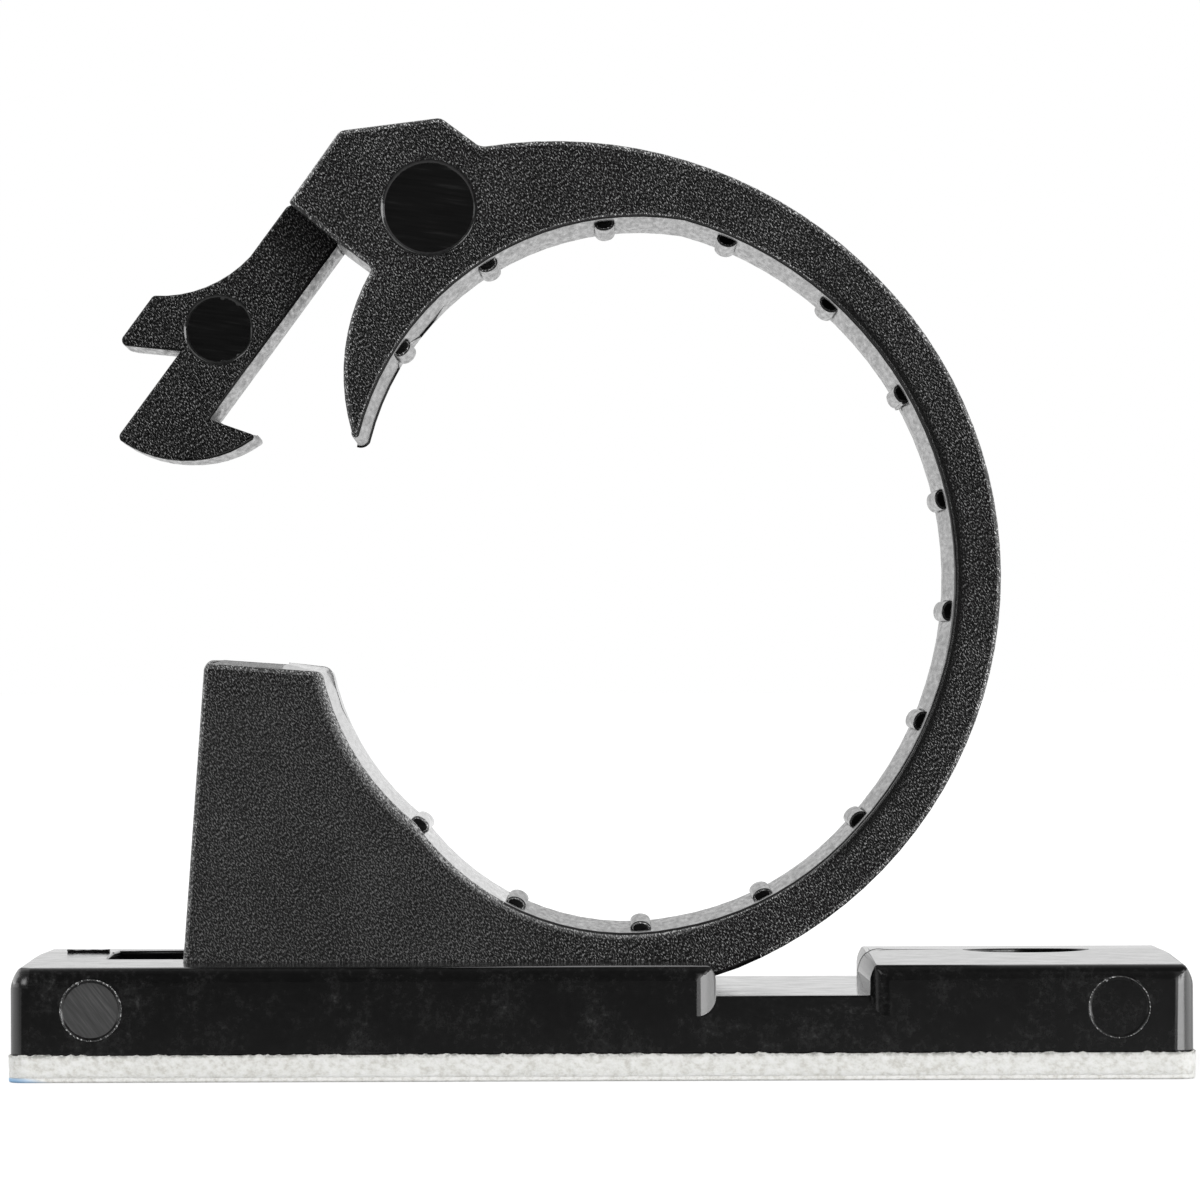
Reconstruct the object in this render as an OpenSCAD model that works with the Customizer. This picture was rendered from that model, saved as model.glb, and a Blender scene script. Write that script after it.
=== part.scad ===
// Latching cable clamp on a foam-taped base, moulded in one piece and shown open.
// X runs along the base, Y from front to back and Z up. The underside of the liner lies at Z = 0.

/* [Base plate] */
// Length of the base plate
base_len = 30; // [28:0.5:36]
// Depth of the base plate, front to back
base_depth = 15; // [12:0.5:20]
// Thickness of the moulded base at its parting line
base_t = 2.3; // [1.8:0.1:3.2]
// Radius of the upright corners of the base
base_corner_r = 0.5; // [0.3:0.1:1]
// Radius of the top edges at the two ends of the base
base_end_r = 0.7; // [0.3:0.1:1]
// Radius of the long top edges of the base
base_edge_r = 0.35; // [0.3:0.05:0.5]
// Draft of the tops of the base and the post, falling from the parting line to the front and the back
draft_a = 1.2; // [0.5:0.1:2]

/* [Relief across the base] */
// Side of the relief that faces the post, from the middle of the base
relief_x = 2.9; // [2:0.1:4]
// Width of the relief
relief_w = 3.9; // [3:0.1:5]
// Depth of the relief below the parting line
relief_d = 0.85; // [0.4:0.05:1.2]
// Radius of the top edges beside the relief
relief_edge_r = 0.55; // [0.2:0.05:0.6]
// Size of the bevel along the front and the back of the relief
relief_bevel = 0.5; // [0.2:0.05:0.5]

/* [Screw hole] */
// Diameter of the screw hole
screw_d = 3.2; // [2.5:0.1:4]
// Distance of the screw hole from the free end of the base
screw_inset = 3.95; // [3:0.05:6]

/* [Loop] */
// Width of the loop, front to back
loop_w = 10; // [8.6:0.2:12]
// Inside radius of the loop on the side away from the mouth
side_r = 9.45; // [8.8:0.05:10.5]
// Inside radius of the loop where it rises from the base
root_r = 7.8; // [7.2:0.05:8.4]
// Inside radius of the loop at the top
top_r = 7.38; // [7:0.02:7.8]
// Direction in which the root arc meets the side arc
root_blend_a = -51; // [-60:1:-40]
// How far one arc stands out past the next where two arcs of the loop blend
blend_lift = 0.02; // [0.01:0.01:0.05]
// Direction of the top arc's centre from the side arc's centre
top_set_a = 52.5; // [45:0.5:60]
// How far the top arc would stand out past the side arc in that direction
top_lift = 0.21; // [0.05:0.01:0.3]
// Thickness of the loop at its thinnest
band_t = 1.2; // [0.9:0.05:1.6]
// Set of the outer arc towards the mouth, which thickens the loop above and below
band_set = 0.18; // [0.1:0.02:0.3]
// How much larger the outer radius is over the top, where the loop thickens towards the head
crown_extra = 0.65; // [0.3:0.05:1]
// Direction in which the two outer arcs meet
crown_blend_a = 30; // [20:1:40]
// Place of the loop's floor along the base
loop_x = 0.65; // [0:0.05:1.5]
// Height of the loop's floor above the base
floor_t = 0.7; // [0.5:0.05:1.2]

/* [Grip ribs] */
// Radius of each rib
rib_r = 0.26; // [0.15:0.01:0.4]
// How far the centre of each rib stands in from the loop
rib_stand = 0.07; // [0:0.01:0.12]
// Length of each rib, front to back
rib_len = 6.6; // [4:0.2:8]
// Number of ribs round the loop
rib_count = 14; // [6:1:18]
// Direction of the rib on the post
rib_first_a = -130.8; // [-133:0.2:-125]
// Angle between the last rib and the tip of the horn
rib_end_a = 17.6; // [14:0.2:25]
// Distance of the ribs' common centre from the side of the loop
rib_centre_r = 8.1; // [7.5:0.05:8.5]
// Height of the ribs' common centre above the centre of the side arc
rib_rise = 0.14; // [0:0.02:0.3]

/* [Post] */
// Height of the post above the base
post_h = 7.5; // [6.5:0.1:8.5]
// Width of the post at its top
post_w = 3; // [2.6:0.1:4]
// Lean of the post towards the loop
post_lean = 4.2; // [2:0.1:6]
// Thickness of the wall between the latch channel and the loop, at the top
web_t = 0.95; // [0.7:0.05:1.2]
// Radius of the saddle that runs from the loop's floor up to the post
saddle_r = 6.6; // [6:0.05:7.2]
// Direction in which the saddle ends
saddle_end_a = 215; // [210:1:220]
// Radius of the hollow in the side of the post
hollow_r = 6.7; // [6:0.05:7.5]
// Radius of the top corners of the post
post_corner_r = 0.3; // [0.1:0.05:0.5]

/* [Head and horn] */
// Direction of the notch between the tongue and the horn, from the centre of the top arc
notch_a = 138.1; // [136:0.1:141]
// Width of the notch at its root
notch_w = 1.15; // [0.8:0.05:1.4]
// Thickness of the horn at its root
horn_root_t = 1.75; // [1.5:0.05:2.1]
// Thickness of the horn at its tip
horn_tip_t = 0.2; // [0.1:0.02:0.4]
// Direction of the tip of the horn, from the centre of the top arc
horn_tip_a = 165.5; // [162:0.5:168]
// Radius of the horn's outer side
horn_r = 5.3; // [4.5:0.1:7]
// How far the head's lower corner stands in from the back of the tongue
head_set = 0.08; // [0:0.02:0.2]
// Length of the head's back
head_h = 2.26; // [1.9:0.02:2.7]
// Slope of the head's back
head_back_a = 54.4; // [50:0.2:60]
// Length of the head's top
head_top_len = 2.6; // [2.3:0.05:2.9]
// Slope of the head's top
head_top_a = 7.1; // [4:0.1:12]
// Radius of the head's corners
head_corner_r = 0.3; // [0.1:0.05:0.5]
// Radius in the corner of the notch, beside the horn
notch_r = 0.15; // [0.05:0.05:0.3]
// Radius of the valley where the loop meets the head
valley_r = 0.4; // [0.2:0.05:0.6]

/* [Latch tongue] */
// Width of the tongue, front to back
tongue_w = 6.2; // [4.6:0.2:6.6]
// Thickness of the tongue
tongue_t = 1.65; // [1.3:0.05:1.9]
// Lean of the tongue away from upright
tongue_lean = 36.5; // [33:0.5:40]
// Distance along the tongue from its root to the barb
tongue_reach = 5.6; // [5.2:0.05:6.2]
// Length of the tongue's back, from its root to its toe
tongue_len = 7.4; // [7:0.05:7.8]
// Height of the barb above the tongue
barb_d = 1.25; // [0.8:0.05:1.4]
// Angle by which the barb hooks back
barb_hook_a = 17; // [8:1:24]
// Radius of the toe that leads into the channel
toe_r = 2.95; // [2.6:0.05:3.4]
// Height of the pull tab above the back of the tongue
tab_h = 1.42; // [1:0.02:1.8]
// Distance along the tongue to the start of the tab's curve
tab_start = 1.25; // [0.8:0.05:1.6]
// How far the tab's curve sinks into the back of the tongue
tab_sink = 0.02; // [0.01:0.01:0.05]
// Radius of the tab's curve
tab_r = 3.14; // [2.8:0.05:3.4]
// Distance along the tongue to the tip of the tab
tab_tip = 5.48; // [5:0.02:5.8]
// Distance along the tongue to the inner corner under the tab
tab_foot = 4.63; // [4.3:0.01:4.8]
// Radius of the tips of the tab and the toe
tip_r = 0.16; // [0.05:0.01:0.25]
// Radius of the tip of the barb
barb_r = 0.1; // [0.05:0.01:0.15]

/* [Latch fit] */
// Gap between the tongue and each side of its channel
latch_clear = 0.3; // [0.15:0.05:0.4]
// Gap between the barb and its catch
catch_clear = 0.2; // [0.1:0.05:0.4]
// Reach of the window in the base beyond the foot of the post
window_out = 2.05; // [1:0.05:2.4]

/* [Tape and liner] */
// Thickness of the foam tape
tape_t = 0.56; // [0.3:0.02:1.1]
// Thickness of the release liner
liner_t = 0.12; // [0.06:0.02:0.2]
// How far the tape stands out past the base
tape_over = 0.05; // [0:0.01:0.2]
// How much wider the hole punched through the tape and its liner is than the screw hole, all round
punch_over = 0.2; // [0.05:0.05:0.5]

/* [Ejector marks] */
// Depth of the marks left by the mould's ejector pins
mark_d = 0.06; // [0.03:0.01:0.12]
// Radius of the mark on the head
head_mark_r = 1.2; // [0.8:0.05:1.3]
// Place of the mark on the head along the tongue's line, from the root of the tongue
head_mark_u = -2.1; // [-2.3:0.05:-1.9]
// Place of the mark on the head across the tongue's line
head_mark_v = 1.4; // [1.2:0.05:1.6]
// Radius of the mark on the tongue
tongue_mark_r = 0.87; // [0.5:0.01:0.9]
// Place of the mark on the tongue along its line, from its root
tongue_mark_u = 3.6; // [3.2:0.05:3.9]
// Place of the mark on the tongue across its line
tongue_mark_v = -1.18; // [-1.3:0.02:-1.1]
// Radius of the marks on the front of the base
base_mark_r = 0.76; // [0.4:0.01:0.8]
// Distance of the marks from the ends of the base
base_mark_inset = 1.97; // [1.6:0.01:3]
// How far both marks lie towards the free end
base_mark_shift = 0.08; // [-0.2:0.02:0.2]

/* [Hidden] */
$fn = 96;
// Overshoot of a cut past the face it opens
past = 1;
// A rounding arc is drawn this much over its radius, so that it crosses the sides it rounds
arc_over = 1.005;

// Unit vector at an angle in the loop's plane
function dir(a) = [cos(a), sin(a)];

// Centre of the circle of radius r through p and q, on the right of the way from p to q
function centre_right_of(p, q, r) =
    let (mid = (p + q) / 2, way = q - p, half = norm(way) / 2)
    mid + [way.y, -way.x] / norm(way) * sqrt(r * r - half * half);

// Distance from a point to a circle in direction a, to its far side or, with side -1, to its near side
function reach_to(from, a, centre, r, side = 1) =
    let (to = centre - from, along = to * dir(a))
    along + side * sqrt(r * r - to * to + along * along);

// Angle of a vector, from start up to a full turn further
function angle_of(v, start = -180) =
    let (a = atan2(v.y, v.x))
    a < start ? a + 360 : a;

// Heights of the layers and of the loop's floor
plastic_z = liner_t + tape_t;
base_top = plastic_z + base_t;
relief_z = base_top - relief_d;
slab_z = relief_z - relief_bevel;
floor_z = base_top + floor_t;
screw_x = base_len / 2 - screw_inset;

// Arcs of the loop
root_c = [loop_x, floor_z + root_r + blend_lift];
side_c = root_c - (side_r - root_r + blend_lift) * dir(root_blend_a);
top_c = side_c + (side_r - top_r + top_lift) * dir(top_set_a);
outer_r = side_r + band_t + band_set;
outer_c = side_c - [band_set, 0];
crown_r = outer_r + crown_extra;
crown_c = outer_c - (crown_extra + blend_lift) * dir(crown_blend_a);

// Post, in a frame that leans with it: s runs down from its top and t towards the loop
post_right = [loop_x - root_r, base_top + post_h];
function post_at(s, t) = post_right + s * dir(270 - post_lean) + (t - post_w) * dir(-post_lean);
post_foot_s = post_h / cos(post_lean) + past;
web_at = post_w - web_t;
saddle_c = [loop_x, floor_z + saddle_r];
saddle_end = saddle_c + saddle_r * dir(saddle_end_a);
hollow_c = centre_right_of(saddle_end, post_right, hollow_r);

// Tongue and head, in a frame on the tongue: u runs down along it and v across it towards the horn
horn_root = top_c + (top_r + horn_root_t) * dir(notch_a);
tongue_root = horn_root - notch_w * dir(-tongue_lean);
function tongue_at(u, v) = tongue_root + u * dir(270 - tongue_lean) + v * dir(-tongue_lean);
head_left = tongue_at(-head_set, head_set - tongue_t);
head_peak = head_left + head_h * dir(head_back_a);
head_end = head_peak + head_top_len * dir(head_top_a);
valley = head_end + reach_to(head_end, -tongue_lean, crown_c, crown_r, -1) * dir(-tongue_lean);
horn_tip = top_c + (top_r + horn_tip_t) * dir(horn_tip_a);
horn_c = centre_right_of(horn_tip, horn_root, horn_r);

// Grip ribs, spread evenly from the post to the horn
rib_c = side_c + [side_r - rib_centre_r, rib_rise];
rib_last_a = angle_of(horn_tip - rib_c) - rib_end_a;
rib_pitch = (rib_last_a - rib_first_a) / (rib_count - 1);

// Barb and toe of the tongue
barb_tip = tongue_at(tongue_reach - barb_d * tan(barb_hook_a), barb_d);
toe_end = tongue_at(tongue_len, -tongue_t);
toe_c = centre_right_of(barb_tip, toe_end, toe_r);
barb_side_a = 180 - tongue_lean + barb_hook_a;
toe_side_a = angle_of(barb_tip - toe_c, 180) - 90;

// Latch channel
channel_w = tongue_w + 2 * latch_clear;
catch_s = tongue_reach - catch_clear;
pocket_d = barb_d + latch_clear;

// Ejector marks
head_mark = tongue_at(head_mark_u, head_mark_v);
tongue_mark = tongue_at(tongue_mark_u, tongue_mark_v);
base_mark_x = base_len / 2 - base_mark_inset;
base_mark_z = plastic_z + base_t / 2;

// Disc of a given centre and radius
module disc(centre, r) {
    translate(centre)
        circle(r = r);
}

// Part of the plane between two directions, seen from a point
module sector(centre, from, to, reach = 40) {
    middle = (from + to) / 2;
    polygon([
        centre,
        centre + reach * dir(from),
        centre + reach * dir((from + middle) / 2),
        centre + reach * dir(middle),
        centre + reach * dir((middle + to) / 2),
        centre + reach * dir(to)
    ]);
}

// Three-sided piece between a corner and its rounding arc, for sides that leave it at angles a and b
module corner_piece(p, a, b, r) {
    half = (b - a) / 2;
    centre = p + r / sin(half) * dir((a + b) / 2);
    foot = r / tan(half);
    // Reach past the corner, so that the piece runs over the sides
    stretch = 1.3;
    difference() {
        polygon([
            centre,
            centre + stretch * (p + foot * dir(a) - centre),
            centre + stretch * (p - centre),
            centre + stretch * (p + foot * dir(b) - centre)
        ]);
        disc(centre, r * arc_over);
    }
}

// Rounded rectangle between two X values, centred on Y
module rounded_plan(x0, x1, depth, r) {
    translate([x0 + r, -depth / 2])
        square([x1 - x0 - 2 * r, depth]);
    translate([x0, -depth / 2 + r])
        square([x1 - x0, depth - 2 * r]);
    for (x = [x0 + r, x1 - r], y = [-depth / 2 + r, depth / 2 - r])
        disc([x, y], r);
}

// Extrusion of a shape drawn in X and Z, centred on Y
module across(width) {
    rotate([90, 0, 0])
        linear_extrude(height = width, center = true)
            children();
}

// Side view of one block of the base, with rounded top edges
module block_side(x0, x1, r0, r1) {
    difference() {
        translate([x0, plastic_z])
            square([x1 - x0, base_t]);
        corner_piece([x0, base_top], -90, 0, r0);
        corner_piece([x1, base_top], 180, 270, r1);
    }
}

// Front-to-back section of the base, ridged at the parting line and rounded along its top edges
module base_section() {
    half = base_depth / 2;
    edge_z = base_top - half * tan(draft_a);
    difference() {
        polygon([
            [-half, plastic_z],
            [half, plastic_z],
            [half, edge_z],
            [0, base_top],
            [-half, edge_z]
        ]);
        corner_piece([-half, edge_z], -90, draft_a, base_edge_r);
        corner_piece([half, edge_z], 180 - draft_a, 270, base_edge_r);
    }
}

// One upright block of the base
module base_block(x0, x1, r0, r1) {
    intersection() {
        translate([0, 0, plastic_z])
            linear_extrude(height = base_t)
                rounded_plan(x0, x1, base_depth, base_corner_r);
        across(base_depth + past)
            block_side(x0, x1, r0, r1);
        rotate([90, 0, 90])
            linear_extrude(height = base_len + past, center = true)
                base_section();
    }
}

// Floor of the relief, bevelled at the front and the back and run on into both blocks
module relief_floor() {
    half = base_depth / 2;
    run_on = base_corner_r + past;
    translate([relief_x - run_on, 0, 0])
        rotate([90, 0, 90])
            linear_extrude(height = relief_w + 2 * run_on)
                polygon([
                    [-half, slab_z],
                    [half, slab_z],
                    [half - relief_bevel, relief_z],
                    [relief_bevel - half, relief_z]
                ]);
}

// Base plate: two blocks on a common slab, with the relief between them
module base() {
    half = base_len / 2;
    translate([0, 0, plastic_z])
        linear_extrude(height = slab_z - plastic_z)
            rounded_plan(-half, half, base_depth, base_corner_r);
    relief_floor();
    base_block(-half, relief_x, base_end_r, relief_edge_r);
    base_block(relief_x + relief_w, half, relief_edge_r, base_end_r);
}

// Space inside the loop
module opening() {
    // Direction past which the mouth lies open
    mouth_a = 225;
    disc(saddle_c, saddle_r);
    intersection() {
        disc(root_c, root_r);
        sector(root_c, -90, 0);
    }
    difference() {
        intersection() {
            disc(side_c, side_r);
            sector(side_c, root_blend_a, 180);
        }
        difference() {
            sector(top_c, top_set_a, mouth_a);
            disc(top_c, top_r);
        }
    }
    intersection() {
        disc(hollow_c, hollow_r);
        sector(hollow_c, 180 - post_lean, 270);
    }
}

// Outside of the loop, from its root to the head
module loop_outside() {
    end_a = angle_of(head_end - side_c);
    // Overlap of the crown with the head
    overlap_a = 10;
    intersection() {
        union() {
            disc(outer_c, outer_r);
            intersection() {
                disc(crown_c, crown_r);
                sector(crown_c, crown_blend_a, end_a + overlap_a);
            }
        }
        sector(side_c, -90, end_a);
    }
}

// Post and the foot that carries it into the loop
module post_outside() {
    difference() {
        polygon([
            post_at(-past, 0),
            post_at(post_foot_s, 0),
            [loop_x, plastic_z + base_t / 2],
            [loop_x, post_right.y],
            post_at(-past, post_w)
        ]);
        corner_piece(post_at(0, 0), 270 - post_lean, 360 - post_lean, post_corner_r);
    }
}

// Head, with the root of the horn
module head_outside() {
    top_side_a = -tongue_lean;
    difference() {
        polygon([
            tongue_root,
            head_left,
            head_peak,
            head_end,
            head_end + top_r / 2 * dir(top_side_a),
            top_c,
            horn_root + notch_w / 2 * dir(top_side_a)
        ]);
        corner_piece(head_peak, 180 + head_back_a, 360 + head_top_a, head_corner_r);
        corner_piece(head_end, 180 + head_top_a, 360 + top_side_a, head_corner_r);
    }
    corner_piece(valley, angle_of(valley - crown_c) - 90, 180 + top_side_a, valley_r);
}

// Horn that lies inside the post when the loop is shut, run on into the head
module horn_outside() {
    // Overlap of the horn with the head
    overlap_a = 8;
    // The fillet in the notch starts this far round, so that it crosses the horn's side
    lead_in_a = 2;
    horn_side_a = angle_of(horn_root - horn_c) + 90;
    // The round tip is a little wider than the horn's end
    tip_over = 1.1;
    intersection() {
        disc(horn_c, horn_r);
        sector(top_c, notch_a - overlap_a, horn_tip_a);
    }
    disc(horn_tip - horn_tip_t / 2 * dir(horn_tip_a), tip_over * horn_tip_t / 2);
    corner_piece(horn_root, 180 - tongue_lean, horn_side_a + lead_in_a, notch_r);
}

// Side view of everything that has the loop's width
module loop_side() {
    difference() {
        union() {
            loop_outside();
            post_outside();
            head_outside();
            horn_outside();
        }
        opening();
    }
}

// Side view of the tongue with its barb and pull tab
module tongue_side() {
    tab_v = -tongue_t - tab_h;
    tab_under = tongue_at(tab_foot, -tongue_t) - tongue_at(tab_tip, tab_v);
    toe_far = tongue_len + toe_r;
    difference() {
        polygon([
            tongue_at(-head_h / 2, 0),
            tongue_at(tongue_reach, 0),
            barb_tip,
            tongue_at(toe_far, barb_d),
            tongue_at(toe_far, -tongue_t),
            tongue_at(0, -tongue_t),
            tongue_at(-head_h / 2, -tongue_t / 2)
        ]);
        difference() {
            polygon([
                tongue_at(tab_foot, -toe_far),
                tongue_at(tab_foot, toe_far),
                tongue_at(2 * toe_far, toe_far),
                tongue_at(2 * toe_far, -toe_far)
            ]);
            disc(toe_c, toe_r);
        }
        corner_piece(toe_end, angle_of(toe_end - toe_c) + 90, 450 - tongue_lean, tip_r);
        corner_piece(barb_tip, barb_side_a, toe_side_a, barb_r);
    }
    difference() {
        polygon([
            tongue_at(tab_start, -tongue_t / 2),
            tongue_at(tab_start, tab_v),
            tongue_at(tab_tip, tab_v),
            tongue_at(tab_foot, -tongue_t),
            tongue_at(tab_foot, -tongue_t / 2)
        ]);
        disc(tongue_at(tab_start, tab_sink - tongue_t - tab_r), tab_r);
        corner_piece(tongue_at(tab_tip, tab_v), angle_of(tab_under), 90 - tongue_lean, tip_r);
    }
}

// Grip ribs round the inside of the loop
module ribs() {
    for (i = [0 : rib_count - 1]) {
        a = rib_first_a + i * rib_pitch;
        side = reach_to(rib_c, a, side_c, side_r);
        r = a < -90 ? reach_to(rib_c, a, saddle_c, saddle_r)
            : a < root_blend_a ? reach_to(rib_c, a, root_c, root_r)
            : a < top_set_a ? side
            : min(side, reach_to(rib_c, a, top_c, top_r));
        across(rib_len)
            disc(rib_c + (r - rib_stand) * dir(a), rib_r);
    }
}

// Channel in the post for the tongue, with the pocket under its catch and the window in the base
module latch_space() {
    pocket_at = web_at + pocket_d;
    window_x = post_at(post_foot_s - past, 0).x - window_out;
    across(channel_w)
        polygon([
            post_at(-2 * past, web_at),
            post_at(catch_s, web_at),
            post_at(catch_s - pocket_d * tan(barb_hook_a), pocket_at),
            [post_at(catch_s, pocket_at).x, plastic_z - past],
            [window_x, plastic_z - past],
            [window_x, post_right.y + 3 * past]
        ]);
}

// Space above the two sloping tops of the post
module post_draft() {
    reach = loop_w / 2 + past;
    drop = reach * tan(draft_a);
    top = 2 * past;
    translate([post_right.x, 0, post_right.y])
        rotate([0, post_lean, 0])
            rotate([90, 0, 90])
                linear_extrude(height = 4 * post_w, center = true)
                    polygon([[-reach, top], [-reach, -drop], [0, 0], [reach, -drop], [reach, top]]);
}

// Shallow round mark on a front face
module mark(at, r, face_y) {
    translate([at.x, face_y + mark_d, at.y])
        rotate([90, 0, 0])
            cylinder(r = r, h = mark_d + past);
}

// The moulded clamp
module clamp_body() {
    color("#1d1d1f")
    difference() {
        union() {
            base();
            across(loop_w)
                loop_side();
            across(tongue_w)
                tongue_side();
            ribs();
        }
        latch_space();
        post_draft();
        translate([screw_x, 0, plastic_z - past])
            cylinder(d = screw_d, h = base_t + 2 * past);
        mark(head_mark, head_mark_r, -loop_w / 2);
        mark(tongue_mark, tongue_mark_r, -tongue_w / 2);
        for (x = [-base_mark_x, base_mark_x])
            mark([x + base_mark_shift, base_mark_z], base_mark_r, -base_depth / 2);
    }
}

// Strip that follows the base, for the tape and its liner, punched under the screw hole
module strip(z, thickness) {
    half = base_len / 2 + tape_over;
    translate([0, 0, z])
        linear_extrude(height = thickness)
            difference() {
                rounded_plan(-half, half, base_depth + 2 * tape_over, base_corner_r);
                disc([screw_x, 0], screw_d / 2 + punch_over);
            }
}

// Adhesive foam under the base
module foam_tape() {
    color("#e9e7de")
        strip(liner_t, tape_t);
}

// Film that covers the lower adhesive
module release_liner() {
    color("#dce4ea")
        strip(0, liner_t);
}

clamp_body();
foam_tape();
release_liner();
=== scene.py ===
"""Looks of the latching cable clamp: black moulded body, foam tape and release film on a white floor.

Each piece starts from the mesh of its CAD node. X runs along the base, Y from front to back and Z up.
The pieces are shaped in millimetres, and the frame and the lamps are in metres.
"""

import math

import bmesh
import bpy
from mathutils import Matrix, Vector, noise


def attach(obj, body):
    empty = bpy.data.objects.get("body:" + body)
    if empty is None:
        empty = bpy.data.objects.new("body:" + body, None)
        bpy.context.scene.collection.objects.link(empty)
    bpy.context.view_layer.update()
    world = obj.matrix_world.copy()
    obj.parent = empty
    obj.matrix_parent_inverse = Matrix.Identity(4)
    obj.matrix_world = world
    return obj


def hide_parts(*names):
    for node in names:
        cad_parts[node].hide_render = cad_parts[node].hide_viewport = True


MM = 0.001

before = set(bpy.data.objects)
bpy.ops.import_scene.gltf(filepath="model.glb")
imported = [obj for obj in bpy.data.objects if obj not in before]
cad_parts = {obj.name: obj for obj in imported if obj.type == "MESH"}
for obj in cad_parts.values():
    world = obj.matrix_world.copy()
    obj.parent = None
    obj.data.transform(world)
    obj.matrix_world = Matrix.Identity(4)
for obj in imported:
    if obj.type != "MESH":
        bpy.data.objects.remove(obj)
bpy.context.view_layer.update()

scene = bpy.context.scene
scene.view_settings.view_transform = "Standard"


# Sizes of the moulded body, in millimetres

X_AXIS, Y_AXIS, Z_AXIS = Vector((1.0, 0.0, 0.0)), Vector((0.0, 1.0, 0.0)), Vector((0.0, 0.0, 1.0))
# Planes of its flat faces, measured from the parting line
LOOP_FACE, TONGUE_FACE, RIB_FACE, CHEEK_FACE, BASE_FACE = 5.0, 3.1, 3.3, 3.4, 7.5
# Underside and top of the base
PLASTIC_Z, BASE_TOP = 0.68, 3.06
# Rise of the base's top over the plain solid, where it begins and the height over which it grows
BASE_RISE, RISE_FROM, RISE_OVER = 0.08, 2.45, 0.35
# Ends of the cross relief
RELIEF_LEFT, RELIEF_RIGHT = 2.95, 6.6
# Soft edge of the left block beside the relief, its length, and its first and further turn in degrees
EDGE_START, EDGE_END, EDGE_LENGTH = 2.36, 3.0, 0.32
EDGE_TURN, EDGE_SWEEP = 4.0, 26.0
# Depth at which the upright corners of the base begin, and how far their shading leans upwards
CORNER_DEPTH, CORNER_LEAN = 6.9, 0.05
# Middle of the ball that rounds each upper corner at the window end of the base, Y with either sign
BALL_AT = Vector((-14.5, 7.0, 2.4))
# Places along the base where the corners of its two blocks begin
CORNER_CUTS = BALL_AT.x, 2.35, 7.4, 14.45
LOOP_CENTRE = Vector((0.95, 0.0, 12.93))
# Top corner of the post towards the loop, the reach of its edges and its rounding
POST_CORNER, POST_REACH, POST_ROUNDING = Vector((-7.15, 0.0, 10.48)), 0.25, 0.13
# Heights below and above the top of the post, and the end of its foot towards the saddle
POST_LOW, POST_HIGH, POST_FOOT = 10.4, 11.0, -2.5
# Latch channel in the post, its end, and the rise of its front and rear cheeks towards the parting line
CHANNEL_SIDE, CHANNEL_END = -8.0, -8.15
FRONT_CHEEK_RISE, REAR_CHEEK_RISE = 0.085, 0.055
# Lower limit of the tongue, and cuts that keep the roundings of the horn's tip and of the barb apart
TONGUE_LOW, HORN_CUT, BARB_CUTS = 14.0, 17.2, (-9.75, -9.35)
SCREW_HOLE, HOLE_REACH = Vector((11.05, 0.0, 0.0)), 1.7
GATE_STUB, STUB_SIZE = Vector((-13.41, 0.0, 3.055)), Vector((1.1, 0.3, 0.14))
# Share by which the ends of the grip ribs are drawn towards the wall of the loop
RIB_DRAW = 0.3
# Ejector marks on the head and the tongue with their radii, and those on the base with their rings
LATCH_MARKS = (Vector((-4.36, 0.0, 22.24)), 1.2), (Vector((-9.87, 0.0, 19.21)), 0.87)
BASE_PINS = Vector((-12.95, 0.0, 1.83)), Vector((13.11, 0.0, 1.83))
PIN_R, PIN_REACH, RING_HEIGHTS = 0.775, 0.85, (0.02, 0.014)
# Depth of the ejector marks, how far their walls slope and how far their rims reach
MARK_DEPTH, MARK_SLOPE, MARK_REACH = 0.06, 0.06, 0.06
# Fall from the parting line inside the loop, on other walls, at the base's ends and on its right block
LOOP_FALL, WALL_FALL, END_FALL, BLOCK_FALL = 0.12, 0.05, 0.08, 0.14
# Fine ridge on the parting line, inside the loop and on the base, and half its width
LOOP_RIDGE, BASE_RIDGE, RIDGE_HALF = 0.05, 0.012, 0.035
# Limits of the parting line's stretches: base ends, loop, foot of a wall, right block, post and horn
BASE_END, INNER_REACH, WALL_FOOT = 13.0, 8.6, 1.5
BLOCK_LEFT, BLOCK_RIGHT, BLOCK_LOW = 6.0, 11.0, 2.3
POST_RIGHT, POST_WALL_LOW = -6.0, 9.0
HORN_RIGHT, HORN_LOW = 1.0, 13.0
# Rounding of the rims of the ejector marks, ribs, loop, base and the rest, and the steps of each
MARK_RIM, RIB_RIM, LOOP_RIM, BASE_RIM, PLAIN_RIM = 0.045, 0.065, 0.11, 0.07, 0.06
RIM_STEPS = {MARK_RIM: 3, RIB_RIM: 3, LOOP_RIM: 4, BASE_RIM: 3, PLAIN_RIM: 3}
SHARP = math.radians(35.0)
# Slack in comparing places, and the least upward part of the normal of a top
SLACK, UPWARD = 0.01, 0.9
# Points on the front about which the grain changes, with the distances where each change begins and ends
WORN_POST = (-7.5, -LOOP_FACE, 5.5), 4.0, 8.0
# At the hollow and the saddle the change is a painted highlight, standing in for light on a wider rounded
# front rim
HOLLOW_HIGHLIGHT = (-0.57, -LOOP_FACE, 11.72), 6.72, 6.98
SADDLE_HIGHLIGHT = (0.65, -LOOP_FACE, 10.28), 6.6, 6.8
SMOOTH_SIDE = (-0.4, -LOOP_FACE, 12.8), 9.62, 9.8
# Places along the base between which the smooth strip inside that last arc fades out
STRIP_FULL, STRIP_NONE = 6.5, 5.0
# Numbers of the finishes, in the order of the list of materials
WALL, INNER_RIM, ERODED, TONGUE, OUTER_RIM_HIGHLIGHT, BASE_FRONT, BASE_SIDE, BASE_UP, PIN_MARK, SCUFFED = range(10)

# Sizes of the tape and the film, in millimetres

TAPE_TOP = PLASTIC_Z
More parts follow.
